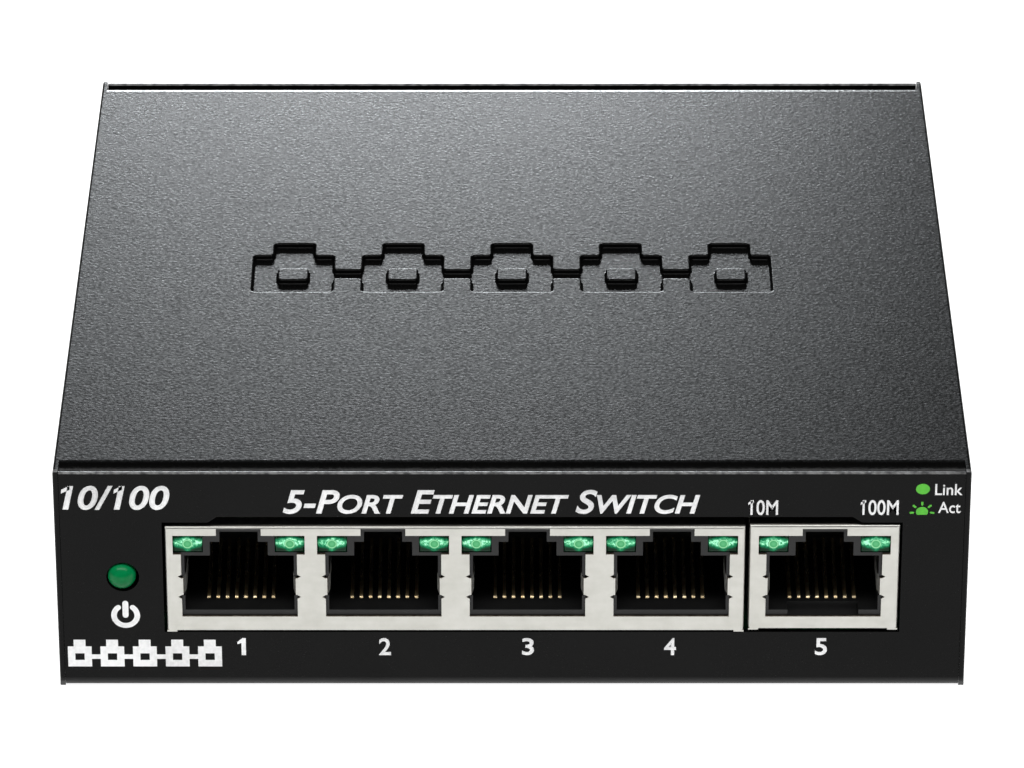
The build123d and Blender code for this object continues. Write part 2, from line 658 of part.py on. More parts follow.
def build_shield(ports, xs, zs, tab_xs, tab_y):
    """A folded shield round one or more ports, open towards the board."""
    with BuildPart() as shield:
        block(xs, (FRONT, SHIELD_REAR), zs)
        front_face = shield.faces().sort_by(Axis.Y)[0]
        fillet(front_face.edges().sort_by(Axis.Z)[1:], SHIELD_EDGE)
        inner_xs = (xs[0] + SHIELD_SHEET, xs[1] - SHIELD_SHEET)
        inner_ys = (FRONT + SHIELD_SHEET, SHIELD_REAR - SHIELD_SHEET)
        block(inner_xs, inner_ys, (zs[0], zs[1] - SHIELD_SHEET), Mode.SUBTRACT)
        for port in ports:
            with BuildSketch(Plane.XZ.offset(-FRONT - SHIELD_SHEET).move(Location((port, 0, 0)))):
                draw_mouth()
                for z in (FINGER_BOTTOM - CUT_HALF, FINGER_TOP + CUT_HALF):
                    for side in (-1, 1):
                        with BuildLine():
                            Polyline(
                                (side * MOUTH_HALF, z - CUT_HALF),
                                (side * (MOUTH_HALF + CUT_REACH), z),
                                (side * MOUTH_HALF, z + CUT_HALF),
                                close=True,
                            )
                        make_face()
            extrude(amount=SHIELD_SHEET, mode=Mode.SUBTRACT)
            for side in (-1, 1):
                with BuildSketch(Plane.XY.offset(FINGER_BOTTOM).move(Location((port, 0, 0)))):
                    with BuildLine():
                        Polyline(
                            (side * (MOUTH_HALF + FINGER_ROOT), FINGER_YS[0]),
                            (side * (MOUTH_HALF - FINGER_ROOT), FINGER_YS[0]),
                            (side * FINGER_REACH, FINGER_YS[1]),
                            (side * FINGER_REACH, FINGER_YS[2]),
                            (side * (CAVITY_HALF + FINGER_FLARE), FINGER_YS[3]),
                        )
                    trace(line_width=FINGER_SHEET)
                extrude(amount=FINGER_TOP - FINGER_BOTTOM)
        for x in tab_xs:
            half = SHIELD_SHEET / 2
            tab_ys = (tab_y - TAB_LENGTH / 2, tab_y + TAB_LENGTH / 2)
            block((x - half, x + half), tab_ys, (PIN_END, zs[0]))
        for x in (xs[0] + NUB_WIDTH / 2, xs[1] - NUB_WIDTH / 2):
            nub_x = (x - NUB_WIDTH / 2, x + NUB_WIDTH / 2)
            block(nub_x, (FRONT, FRONT + SHIELD_SHEET), (zs[0] - NUB_DROP, zs[0]))
    return shield


def build_housing(ports, xs, zs, open_front):
    """The moulded insulator that fills a shield, with a cavity for each port."""
    with BuildPart() as housing:
        gap = SHIELD_SHEET + HOUSING_GAP
        block((xs[0] + gap, xs[1] - gap), (HOUSING_FRONT, HOUSING_REAR), (HOUSING_BOTTOM, zs[1] - gap))
        for port in ports:
            with BuildSketch(Plane.XZ.offset(-CAVITY_REAR).move(Location((port, 0, 0)))):
                draw_cavity()
            extrude(amount=CAVITY_REAR - HOUSING_FRONT, mode=Mode.SUBTRACT)
            for side in (-1, 1):
                lamp_xs = (port + side * (LAMP_INNER - LAMP_GAP), port + side * (LAMP_OUTER + LAMP_GAP))
                lamp_zs = (LAMP_BOTTOM - LAMP_GAP, LAMP_TOP + LAMP_GAP)
                block(sorted(lamp_xs), (HOUSING_FRONT, HOUSING_REAR), lamp_zs, Mode.SUBTRACT)
                pocket_xs = (port + side * CAVITY_HALF, port + side * FINGER_POCKET)
                pocket_zs = (FINGER_BOTTOM - FINGER_ROOM, FINGER_TOP + FINGER_ROOM)
                block(sorted(pocket_xs), (HOUSING_FRONT, FINGER_POCKET_REAR), pocket_zs, Mode.SUBTRACT)
                with Locations((port + side * PEG_OFFSET, PEG_Y, (PEG_BOTTOM + HOUSING_BOTTOM) / 2)):
                    Cylinder(PEG_RADIUS, HOUSING_BOTTOM - PEG_BOTTOM)
            for x in contact_xs(port):
                slot_x = (x - CONTACT_SLOT / 2, x + CONTACT_SLOT / 2)
                block(slot_x, (SLOT_FRONT, SLOT_REAR), (HOUSING_BOTTOM, CAVITY_FLOOR), Mode.SUBTRACT)
            if open_front:
                recess = (port - FOOT_INNER, port + FOOT_INNER)
                block(recess, (HOUSING_FRONT, COMB_RECESS_Y), (HOUSING_BOTTOM, CAVITY_FLOOR), Mode.SUBTRACT)
    return housing


gang_jack_shield = build_shield(GANG_PORTS, GANG_SHIELD_X, GANG_SHIELD_Z, GANG_TAB_XS, GANG_TAB_Y)
hand_over(gang_jack_shield, "gang_jack_shield")
gang_jack_housing = build_housing(GANG_PORTS, GANG_SHIELD_X, GANG_SHIELD_Z, open_front=False)
hand_over(gang_jack_housing, "gang_jack_housing")
single_jack_shield = build_shield(
    (SINGLE_PORT,), SINGLE_SHIELD_X, SINGLE_SHIELD_Z, SINGLE_TAB_XS, SINGLE_TAB_Y
)
hand_over(single_jack_shield, "single_jack_shield")
single_jack_housing = build_housing((SINGLE_PORT,), SINGLE_SHIELD_X, SINGLE_SHIELD_Z, open_front=True)
hand_over(single_jack_housing, "single_jack_housing")

# Each contact runs from the board forward under the cavity, turns at the front and
# rises as a free spring towards the rear.
for number, port in enumerate(ALL_PORTS, 1):
    with BuildPart() as jack_contacts:
        for k, x in enumerate(contact_xs(port)):
            with BuildSketch(Plane.YZ.offset(x)):
                with BuildLine():
                    FilletPolyline(
                        (TAIL_YS[k % 2], PIN_END),
                        (TAIL_YS[k % 2], CONTACT_LOW),
                        (CONTACT_FRONT, CONTACT_LOW),
                        (CONTACT_FRONT, CONTACT_BEND),
                        CONTACT_TIP,
                        radius=CONTACT_RADII,
                    )
                trace(line_width=CONTACT_THICKNESS)
            extrude(amount=CONTACT_WIDTH / 2, both=True)
    hand_over(jack_contacts, f"jack_contacts_{number}")

    for name, side in (("left", -1), ("right", 1)):
        with BuildPart() as jack_led:
            lamp_xs = sorted((port + side * LAMP_INNER, port + side * LAMP_OUTER))
            block(lamp_xs, (LAMP_FRONT, LAMP_REAR), (LAMP_BOTTOM, LAMP_TOP))
            fillet(jack_led.faces().sort_by(Axis.Y)[0].edges(), LAMP_CROWN)
        hand_over(jack_led, f"jack_led_{number}_{name}")

for label, ports in (("gang_led_leads", GANG_PORTS), ("single_led_leads", (SINGLE_PORT,))):
    with BuildPart() as lamp_leads:
        for x in [x for port in ports for side in (-1, 1) for x in lamp_lead_xs(port, side)]:
            with BuildSketch(Plane.YZ.offset(x)):
                with BuildLine():
                    FilletPolyline(
                        (LAMP_REAR, LAMP_LEAD_Z),
                        (LAMP_LEAD_Y, LAMP_LEAD_Z),
                        (LAMP_LEAD_Y, PIN_END),
                        radius=LAMP_LEAD,
                    )
                trace(line_width=LAMP_LEAD)
            extrude(amount=LAMP_LEAD / 2, both=True)
    hand_over(lamp_leads, label)

# ==== Power lamp ====

with BuildPart() as power_led:
    with BuildSketch(Plane.XY.offset(LED_Z)):
        with BuildLine():
            Polyline(
                (LED_X, LED_BASE),
                (LED_X + LED_FLANGE, LED_BASE),
                (LED_X + LED_FLANGE, LED_BASE - LED_FLANGE_LENGTH),
                (LED_X + LED_RADIUS, LED_BASE - LED_FLANGE_LENGTH),
                (LED_X + LED_RADIUS, LED_TIP + LED_RADIUS),
            )
            JernArc((LED_X + LED_RADIUS, LED_TIP + LED_RADIUS), (0, -1), LED_RADIUS, -90)
            Line((LED_X, LED_TIP), (LED_X, LED_BASE))
        make_face()
    revolve(axis=Axis((LED_X, 0, LED_Z), (0, 1, 0)))
hand_over(power_led, "power_led")

with BuildPart() as power_led_leads:
    for x, y in led_leads:
        with BuildSketch(Plane.YZ.offset(x)):
            with BuildLine():
                FilletPolyline((LED_BASE, LED_Z), (y, LED_Z), (y, PIN_END), radius=LED_LEAD)
            trace(line_width=LED_LEAD)
        extrude(amount=LED_LEAD / 2, both=True)
hand_over(power_led_leads, "power_led_leads")

with BuildPart() as power_led_holder:
    holder_x = (LED_X - HOLDER_HALF, LED_X + HOLDER_HALF)
    block(holder_x, (LED_BASE, HOLDER_REAR), (BOARD_TOP, HOLDER_TOP))
    for x, y in led_leads:
        groove = (x - LED_LEAD / 2 - THREAD_GAP, x + LED_LEAD / 2 + THREAD_GAP)
        groove_z = (LED_Z - LED_LEAD / 2 - THREAD_GAP, LED_Z + LED_LEAD / 2 + THREAD_GAP)
        block(groove, (LED_BASE, HOLDER_REAR), groove_z, Mode.SUBTRACT)
hand_over(power_led_holder, "power_led_holder")

# ==== DC inlet ====

with BuildPart() as dc_jack_housing:
    block((DC_X - DC_HALF, DC_X + DC_HALF), (DC_FRONT, DC_BACK), (HOUSING_BOTTOM, DC_TOP))
    fillet(dc_jack_housing.edges().filter_by(Axis.Y).group_by(Axis.Z)[-1], DC_CORNER)
    with BuildSketch(Plane.XZ.offset(-DC_BACK)):
        with Locations((DC_X, DC_Z)):
            Circle(DC_NOSE)
    extrude(amount=DC_BACK - REAR - STANDOUT)
    with BuildSketch(Plane.XZ.offset(-REAR - STANDOUT)):
        with Locations((DC_X, DC_Z)):
            Circle(DC_BORE)
    extrude(amount=REAR + STANDOUT - DC_BORE_END, mode=Mode.SUBTRACT)
    with BuildSketch(Plane.XZ.offset(-DC_BORE_END)):
        with Locations((DC_X, DC_Z)):
            Circle(DC_PIN_ROOT + DC_PIN_GAP)
    extrude(amount=DC_BORE_END - DC_FRONT, mode=Mode.SUBTRACT)
    spring_x = (DC_X - DC_SPRING_HALF - THREAD_GAP, DC_X + DC_SPRING_HALF + THREAD_GAP)
    block(spring_x, DC_SPRING_POCKET, (HOUSING_BOTTOM, DC_Z - DC_NOSE / 2), Mode.SUBTRACT)
hand_over(dc_jack_housing, "dc_jack_housing")

with BuildPart() as dc_jack_centre_pin:
    for end, radius in ((DC_BORE_END, DC_PIN_ROOT), (DC_PIN_TIP, DC_PIN)):
        with BuildSketch(Plane.XZ.offset(-DC_FRONT)):
            with Locations((DC_X, DC_Z)):
                Circle(radius)
        extrude(amount=DC_FRONT - end)
    fillet(dc_jack_centre_pin.edges().sort_by(Axis.Y)[-1], DC_PIN_ROUND)
hand_over(dc_jack_centre_pin, "dc_jack_centre_pin")

with BuildPart() as dc_jack_sleeve_spring:
    with BuildSketch(Plane.YZ.offset(DC_X)):
        with BuildLine():
            FilletPolyline(*DC_SPRING_PATH, radius=DC_SPRING_SHEET)
        trace(line_width=DC_SPRING_SHEET)
    extrude(amount=DC_SPRING_HALF, both=True)
hand_over(dc_jack_sleeve_spring, "dc_jack_sleeve_spring")

with BuildPart() as dc_jack_terminal:
    terminal_x = (DC_X - DC_TERMINAL_HALF, DC_X + DC_TERMINAL_HALF)
    terminal_y = DC_TERMINAL_YS[0]
    half = DC_TERMINAL_SHEET / 2
    block(terminal_x, (terminal_y - half, terminal_y + half), (PIN_END, DC_Z + DC_PIN))
    block(terminal_x, (terminal_y + half, DC_FRONT), (DC_Z - DC_PIN, DC_Z + DC_PIN))
hand_over(dc_jack_terminal, "dc_jack_terminal")

# ==== Parts on the board ====


def add_body(centre, size):
    """A moulded package standing just above the board."""
    with Locations((*centre, BOARD_TOP + SEAT + size[2] / 2)):
        Box(*size)


def add_lead_rows(centre, half_depth, pitch, count, across_x=False):
    """Gull-wing leads in two rows, one on each long side of a package."""
    first = -(count - 1) / 2 * pitch
    places = [first + k * pitch for k in range(count)]
    base = Plane.XZ.offset(-centre[1]) if across_x else Plane.YZ.offset(centre[0])
    middle = centre[0] if across_x else centre[1]
    reverse = -1 if across_x else 1
    for side in (-1, 1):
        planes = [base.offset(reverse * place) for place in places]
        bend = [(middle + side * (half_depth + out), BOARD_TOP + up) for out, up in GULL_WING]
        with BuildSketch(*planes) as profiles:
            with BuildLine():
                Polyline(*bend)
            trace(line_width=LEAD_SHEET)
        extrude(profiles.sketch, amount=LEAD_WIDTH / 2, both=True)


with BuildPart() as switch_ic:
    add_body(SWITCH_IC_AT, SWITCH_IC_SIZE)
    chamfer(switch_ic.edges().filter_by(Axis.Z).sort_by(Axis.X)[0], IC_CORNER)
hand_over(switch_ic, "switch_ic")

with BuildPart() as switch_ic_leads:
    add_lead_rows(SWITCH_IC_AT, SWITCH_IC_SIZE[1] / 2, FINE_PITCH, SWITCH_IC_LEADS[0])
    add_lead_rows(SWITCH_IC_AT, SWITCH_IC_SIZE[0] / 2, FINE_PITCH, SWITCH_IC_LEADS[1], across_x=True)
hand_over(switch_ic_leads, "switch_ic_leads")

for label, centre, size, count in (
    ("quad_transformer", QUAD_AT, QUAD_SIZE, QUAD_LEADS),
    ("single_transformer", SINGLE_AT, SINGLE_SIZE, SINGLE_LEADS),
):
    with BuildPart() as transformer:
        add_body(centre, size)
        chamfer(transformer.faces().sort_by(Axis.Z)[-1].edges(), PACKAGE_EDGE)
    hand_over(transformer, label)
    with BuildPart() as transformer_leads:
        add_lead_rows(centre, size[1] / 2, WIDE_PITCH, count)
    hand_over(transformer_leads, f"{label}_leads")

with BuildPart() as eeprom_ic:
    add_body(EEPROM_AT, EEPROM_SIZE)
    add_lead_rows(EEPROM_AT, EEPROM_SIZE[1] / 2, WIDE_PITCH, EEPROM_LEADS)
hand_over(eeprom_ic, "eeprom_ic")

with BuildPart() as crystal_can:
    with BuildSketch(Plane.XY.offset(BOARD_TOP + SEAT)):
        with Locations(CRYSTAL_AT):
            SlotOverall(CRYSTAL_SIZE[0], CRYSTAL_SIZE[1])
    extrude(amount=CRYSTAL_SIZE[2])
    fillet(crystal_can.edges().group_by(Axis.Z)[-1], CRYSTAL_EDGE)
hand_over(crystal_can, "crystal_can")

with BuildPart() as crystal_leads:
    pins_at(crystal_leads_at, LEAD_WIDTH, (PIN_END, BOARD_TOP + SEAT))
hand_over(crystal_leads, "crystal_leads")

with BuildPart() as regulator_ic:
    add_body(REGULATOR_AT, REGULATOR_SIZE)
    add_lead_rows(REGULATOR_AT, REGULATOR_SIZE[1] / 2, REGULATOR_PITCH, REGULATOR_LEADS)
hand_over(regulator_ic, "regulator_ic")

with BuildPart() as power_inductor:
    add_body(INDUCTOR_AT, INDUCTOR_SIZE)
    chamfer(power_inductor.edges().filter_by(Axis.Z), INDUCTOR_CORNER)
hand_over(power_inductor, "power_inductor")

with BuildPart() as power_diode:
    add_body(DIODE_AT, DIODE_SIZE)
    chamfer(power_diode.faces().sort_by(Axis.Z)[-1].edges(), DIODE_EDGE)
hand_over(power_diode, "power_diode")

with BuildPart() as resettable_fuse:
    fuse_z = BOARD_TOP + FUSE_RADIUS + FUSE_LIFT
    with BuildSketch(Plane.XZ.offset(-FUSE_AT[1] - FUSE_THICKNESS / 2)):
        with Locations((FUSE_AT[0], fuse_z)):
            Circle(FUSE_RADIUS)
    extrude(amount=FUSE_THICKNESS)
    fillet(resettable_fuse.edges(), FUSE_EDGE)
    pins_at(fuse_leads, LAMP_LEAD, (PIN_END, fuse_z - FUSE_LIFT))
hand_over(resettable_fuse, "resettable_fuse")

with BuildPart() as filter_capacitors:
    with BuildSketch(Plane.XY.offset(BOARD_TOP + SEAT)):
        with Locations(*CAN_AT):
            Circle(CAN_RADIUS)
    extrude(amount=CAN_HEIGHT)
    fillet(filter_capacitors.edges().group_by(Axis.Z)[-1], CAN_EDGE)
hand_over(filter_capacitors, "filter_capacitors")

with BuildPart() as capacitor_leads:
    pins_at(can_leads, LAMP_LEAD, (PIN_END, BOARD_TOP + SEAT))
hand_over(capacitor_leads, "capacitor_leads")

for label, places, size in (
    ("chip_capacitors", CHIP_CAPACITORS, CHIP_CAPACITOR_SIZE),
    ("chip_resistors", CHIP_RESISTORS, CHIP_RESISTOR_SIZE),
):
    with BuildPart() as chips:
        for place in places:
            with Locations((*place, BOARD_TOP + SEAT + size[2] / 2)):
                Box(*size)
    hand_over(chips, label)
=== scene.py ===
import json
import math

import bmesh
import bpy
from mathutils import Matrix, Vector


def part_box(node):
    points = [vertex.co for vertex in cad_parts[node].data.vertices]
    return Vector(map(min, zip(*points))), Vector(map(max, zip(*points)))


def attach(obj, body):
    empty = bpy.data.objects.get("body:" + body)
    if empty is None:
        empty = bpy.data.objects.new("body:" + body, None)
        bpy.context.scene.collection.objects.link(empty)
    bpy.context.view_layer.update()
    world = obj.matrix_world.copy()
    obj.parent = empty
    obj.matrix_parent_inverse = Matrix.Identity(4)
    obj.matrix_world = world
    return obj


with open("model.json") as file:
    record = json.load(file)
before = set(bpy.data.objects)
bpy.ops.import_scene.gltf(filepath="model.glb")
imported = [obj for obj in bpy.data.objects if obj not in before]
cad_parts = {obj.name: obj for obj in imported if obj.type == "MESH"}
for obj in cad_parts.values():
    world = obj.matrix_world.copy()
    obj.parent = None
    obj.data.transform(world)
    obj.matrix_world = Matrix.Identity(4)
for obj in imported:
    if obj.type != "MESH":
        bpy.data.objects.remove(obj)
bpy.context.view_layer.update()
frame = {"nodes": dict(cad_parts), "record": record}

MM = 0.001
case_low, case_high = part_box("top_cover")
tray_low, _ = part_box("base_tray")
FRONT = tray_low.y
CASE_TOP = case_high.z
CASE_BOTTOM = case_low.z
PRINT_THICKNESS = 0.02 * MM
MERGE_DISTANCE = 0.001 * MM
SMALL_CAPS = 0.78


# ---- Materials ----

class Surface:
    """One material, built step by step round a Principled shader. Lengths are in metres."""

    def __init__(self, name, **sockets):
        self.material = bpy.data.materials.new(name)
        self.material.use_nodes = True
        self.nodes = self.material.node_tree.nodes
        self.links = self.material.node_tree.links
        self.shader = self.nodes["Principled BSDF"]
        self.place = self.nodes.new("ShaderNodeTexCoord").outputs["Object"]
        for socket, value in sockets.items():
            self.shader.inputs[socket.replace("_", " ")].default_value = value

    def put(self, source, socket):
        self.links.new(source, self.shader.inputs[socket])

    def stretched(self, stretch):
        """The object's coordinates, with each axis scaled."""
        mapping = self.nodes.new("ShaderNodeMapping")
        mapping.inputs["Scale"].default_value = stretch
        self.links.new(self.place, mapping.inputs["Vector"])
        return mapping.outputs["Vector"]

    def noise(self, size, detail=2.0, roughness=0.5, stretch=None):
        """A soft random pattern with features about this size."""
        node = self.nodes.new("ShaderNodeTexNoise")
        node.inputs["Scale"].default_value = 1 / size
        node.inputs["Detail"].default_value = detail
        node.inputs["Roughness"].default_value = roughness
        vector = self.stretched(stretch) if stretch else self.place
        self.links.new(vector, node.inputs["Vector"])
        return node.outputs["Fac"]

    def cells(self, size):
        """Distance to the nearest of many scattered points."""
        node = self.nodes.new("ShaderNodeTexVoronoi")
        node.inputs["Scale"].default_value = 1 / size
        self.links.new(self.place, node.inputs["Vector"])
        return node.outputs["Distance"]

    def ramp(self, factor, *stops):
        """A colour ramp through (position, colour) stops."""
        node = self.nodes.new("ShaderNodeValToRGB")
        elements = node.color_ramp.elements
        while len(elements) < len(stops):
            elements.new(0.5)
        for element, (position, colour) in zip(elements, stops):
            element.position = position
            element.color = (*colour, 1.0)
        self.links.new(factor, node.inputs["Fac"])
        return node.outputs["Color"]

    def fit(self, value, low, high, to_low, to_high):
        """Maps a value's range onto another, with the ends clamped."""
        node = self.nodes.new("ShaderNodeMapRange")
        ends = {"From Min": low, "From Max": high, "To Min": to_low, "To Max": to_high}
        for socket, number in ends.items():
            node.inputs[socket].default_value = number
        self.links.new(value, node.inputs["Value"])
        return node.outputs["Result"]

    def calculate(self, operation, *values):
        node = self.nodes.new("ShaderNodeMath")
        node.operation = operation
        for socket, value in zip(node.inputs, values):
            if isinstance(value, (int, float)):
                socket.default_value = value
            else:
                self.links.new(value, socket)
        return node.outputs["Value"]

    def blend(self, factor, first, second):
        """Mixes two colours, either of which may be a constant."""
        node = self.nodes.new("ShaderNodeMix")
        node.data_type = "RGBA"
        self.links.new(factor, node.inputs["Factor"])
        for socket, colour in ((node.inputs[6], first), (node.inputs[7], second)):
            if isinstance(colour, tuple):
                socket.default_value = (*colour, 1.0)
            else:
                self.links.new(colour, socket)
        return node.outputs[2]

    def part_of(self, vector, axis):
        """One component of a vector."""
        node = self.nodes.new("ShaderNodeSeparateXYZ")
        self.links.new(vector, node.inputs["Vector"])
        return node.outputs[axis]

    def along(self, axis):
        return self.part_of(self.place, axis)

    def facing(self, axis):
        """How far the surface's normal points along an axis."""
        return self.part_of(self.nodes.new("ShaderNodeNewGeometry").outputs["True Normal"], axis)

    def generated(self, axis):
        """Position in the object's own box, from 0 to 1."""
        return self.part_of(self.nodes.new("ShaderNodeTexCoord").outputs["Generated"], axis)

    def bump(self, height, depth, strength=1.0):
        """Raises the surface by up to a depth, on top of any earlier bump."""
        node = self.nodes.new("ShaderNodeBump")
        node.inputs["Strength"].default_value = strength
        node.inputs["Distance"].default_value = depth
        self.links.new(height, node.inputs["Height"])
        earlier = self.shader.inputs["Normal"].links
        if earlier:
            self.links.new(earlier[0].from_socket, node.inputs["Normal"])
        self.put(node.outputs["Normal"], "Normal")


def grey(level, warmth=0.0):
    return (level * (1 + warmth), level, level * (1 - warmth))


def textured_paint(name, specular, base):
    """Black powder coat with a fine wrinkle, and painted highlights: light grey along the panels' top cut
    edges, where the coat is also thin, and lighter round the low bends, in place of the floor's reflection
    there.
    """
    panel_depth = 0.7 * MM
    edge_depth = 0.36 * MM
    bend_full, bend_end = CASE_BOTTOM + 0.35 * MM, CASE_BOTTOM + 1.3 * MM
    paint = Surface(name, Specular_IOR_Level=specular)
    blotches = paint.noise(9 * MM, detail=3.0)
    coat = paint.ramp(blotches, (0.3, grey(base * 0.85)), (0.7, grey(base * 1.15, 0.02)))
    outward = paint.calculate("ABSOLUTE", paint.along("Y"))
    near_panel = paint.calculate("GREATER_THAN", outward, -FRONT - panel_depth)
    # Painted highlight: the up-facing top cut edges of the front and back panels get a light grey coat in
    # place of the light that edge catches. The coat there is thin as well.
    near_edge = paint.calculate("GREATER_THAN", paint.along("Z"), CASE_TOP - edge_depth)
    upward = paint.calculate("GREATER_THAN", paint.facing("Z"), 0.45)
    edge_highlight_mask = paint.calculate("MULTIPLY", paint.calculate("MULTIPLY", near_panel, near_edge), upward)
    edge_highlight_coat = paint.ramp(paint.noise(0.7 * MM, detail=3.0), (0.35, grey(0.06)), (0.65, grey(0.24)))
    with_edge_highlight = paint.blend(edge_highlight_mask, coat, edge_highlight_coat)
    # Painted highlight: paint on the front and back panels within about a millimetre of the bottom is made
    # lighter, in place of the floor's reflection in the bends.
    lowness = paint.fit(paint.along("Z"), bend_full, bend_end, 1.0, 0.0)
    bend_highlight_mask = paint.calculate("MULTIPLY", lowness, near_panel)
    bend_highlight_coat = paint.ramp(blotches, (0.3, grey(base + 0.04)), (0.7, grey(base + 0.055)))
    paint.put(paint.blend(bend_highlight_mask, with_edge_highlight, bend_highlight_coat), "Base Color")
    grain = paint.noise(0.36 * MM, detail=2.5, roughness=0.55)
    paint.put(paint.fit(grain, 0.35, 0.65, 0.19, 0.275), "Roughness")
    paint.bump(grain, 0.022 * MM, 0.85)
    return paint.material


def smooth_metal(name, colour, roughness, brushed):
    """Bare or plated metal with fine drawn lines and faint stains."""
    metal = Surface(name, Metallic=1.0)
    stains = metal.noise(3 * MM, detail=3.0)
    dark = tuple(c * 0.86 for c in colour)
    metal.put(metal.ramp(stains, (0.35, dark), (0.65, colour)), "Base Color")
    lines = metal.noise(0.35 * MM, detail=2.0, stretch=brushed)
    metal.put(metal.fit(lines, 0.3, 0.7, roughness * 0.85, roughness * 1.2), "Roughness")
    metal.bump(lines, 0.004 * MM, 0.4)
    return metal.material


def shield_tin():
    """Tinned sheet: dull and even on its faces, brown where the punch left raw edges."""
    cut_depth = 0.26 * MM
    tin = Surface("shield_tin", Metallic=0.85)
    stains = tin.noise(2.5 * MM, detail=4.0, roughness=0.6)
    face = tin.ramp(stains, (0.3, (0.44, 0.435, 0.40)), (0.7, (0.50, 0.495, 0.462)))
    across_sheet = tin.calculate("ABSOLUTE", tin.facing("Y"))
    in_front = tin.calculate("LESS_THAN", tin.along("Y"), FRONT + cut_depth)
    is_cut = tin.calculate("MULTIPLY", tin.calculate("LESS_THAN", across_sheet, 0.3), in_front)
    scorch = tin.noise(0.5 * MM, detail=3.0)
    raw = tin.ramp(scorch, (0.35, (0.16, 0.115, 0.07)), (0.7, (0.42, 0.35, 0.26)))
    tin.put(tin.blend(is_cut, face, raw), "Base Color")
    rolled = tin.noise(0.5 * MM, detail=3.0, stretch=(0.25, 1, 1))
    tin.put(tin.fit(rolled, 0.3, 0.7, 0.36, 0.48), "Roughness")
    tin.bump(rolled, 0.006 * MM, 0.5)
    return tin.material


def moulded_plastic(name, base, roughness, specular):
    """Black or dark moulded plastic with a light spark-eroded texture."""
    plastic = Surface(name, Specular_IOR_Level=specular)
    flow = plastic.noise(2.5 * MM, detail=2.0)
    plastic.put(plastic.ramp(flow, (0.3, grey(base * 0.85)), (0.7, grey(base * 1.15))), "Base Color")
    erosion = plastic.noise(0.12 * MM, detail=2.0)
    plastic.put(plastic.fit(erosion, 0.3, 0.7, roughness * 0.9, roughness * 1.15), "Roughness")
    plastic.bump(erosion, 0.01 * MM, 0.4)
    return plastic.material


def gold_contact():
    """Gold plate, drawn smooth, and scuffed where plugs wipe the low front bends."""
    scuff_full, scuff_end = 9.4 * MM, 11.6 * MM
    gold = Surface("gold_contact", Metallic=1.0)
    wear = gold.noise(0.6 * MM, detail=2.0)
    gold.put(gold.ramp(wear, (0.3, (0.80, 0.58, 0.30)), (0.7, (0.95, 0.80, 0.52))), "Base Color")
    drawn = gold.noise(0.15 * MM, stretch=(1, 0.15, 0.15))
    tips = gold.fit(gold.along("Z"), scuff_full, scuff_end, 0.3, 0.0)
    gold.put(gold.calculate("ADD", gold.fit(drawn, 0.3, 0.7, 0.2, 0.28), tips), "Roughness")
    gold.bump(drawn, 0.003 * MM, 0.3)
    return gold.material


def jack_lamp():
    """A clear green lens with painted highlights, a bright bow round a ringed centre spot, in place of the
    light it refracts. It also has a faint painted glow in these colours.
    """
    # Painted glow: the lens is no lit lamp, yet it gives off faint light in its painted colours.
    lens = Surface(
        "green_lens", Roughness=0.15, IOR=1.5, Specular_IOR_Level=0.12, Emission_Strength=0.12
    )
    x = lens.calculate("SUBTRACT", lens.calculate("MULTIPLY", lens.generated("X"), 2.0), 1.0)
    z = lens.calculate("SUBTRACT", lens.calculate("MULTIPLY", lens.generated("Z"), 2.0), 1.0)
    side = lens.calculate("ABSOLUTE", x)
    # A painted highlight bow: bright wings left and right of the middle in the upper half, and a point
    # below it.
    lift = lens.calculate("ABSOLUTE", lens.calculate("SUBTRACT", z, 0.15))
    spread = lens.calculate("ADD", lift, lens.calculate("MULTIPLY", side, 0.45))
    highlight_wings = lens.fit(spread, 0.45, 1.0, 1.0, 0.0)
    highlight_point = lens.calculate("ADD", lens.calculate("MULTIPLY", side, 1.5), lens.calculate("ABSOLUTE", z))
    highlight_bow = lens.calculate("MAXIMUM", highlight_wings, lens.fit(highlight_point, 0.5, 1.3, 0.8, 0.0))
    speckle = lens.noise(0.28 * MM, detail=3.0, roughness=0.6)
    highlight_strength = lens.calculate("MULTIPLY", highlight_bow, lens.fit(speckle, 0.35, 0.65, 0.55, 1.15))
    body = lens.ramp(
        highlight_strength,
        (0.0, (0.0, 0.018, 0.006)),
        (0.2, (0.0, 0.06, 0.02)),
        (0.5, (0.0, 0.20, 0.075)),
        (0.78, (0.10, 0.50, 0.24)),
        (1.0, (0.42, 0.95, 0.62)),
    )
    # Painted highlight: a bright ring round the centre spot.
    reach = lens.calculate(
        "ADD",
        lens.calculate("POWER", side, 2.0),
        lens.calculate("MULTIPLY", lens.calculate("POWER", lens.calculate("ABSOLUTE", z), 2.0), 0.45),
    )
    ring = lens.ramp(
        reach,
        (0.0, (0.10, 0.42, 0.18)),
        (0.05, (0.05, 0.33, 0.12)),
        (0.09, (0.30, 0.72, 0.38)),
        (0.13, (0.02, 0.2, 0.08)),
    )
    centre = lens.fit(reach, 0.10, 0.16, 1.0, 0.0)
    colour = lens.blend(centre, body, ring)
    lens.put(colour, "Base Color")
    # The painted colours also drive the faint painted glow.
    lens.put(colour, "Emission Color")
    lens.bump(speckle, 0.02 * MM, 0.3)
    return lens.material


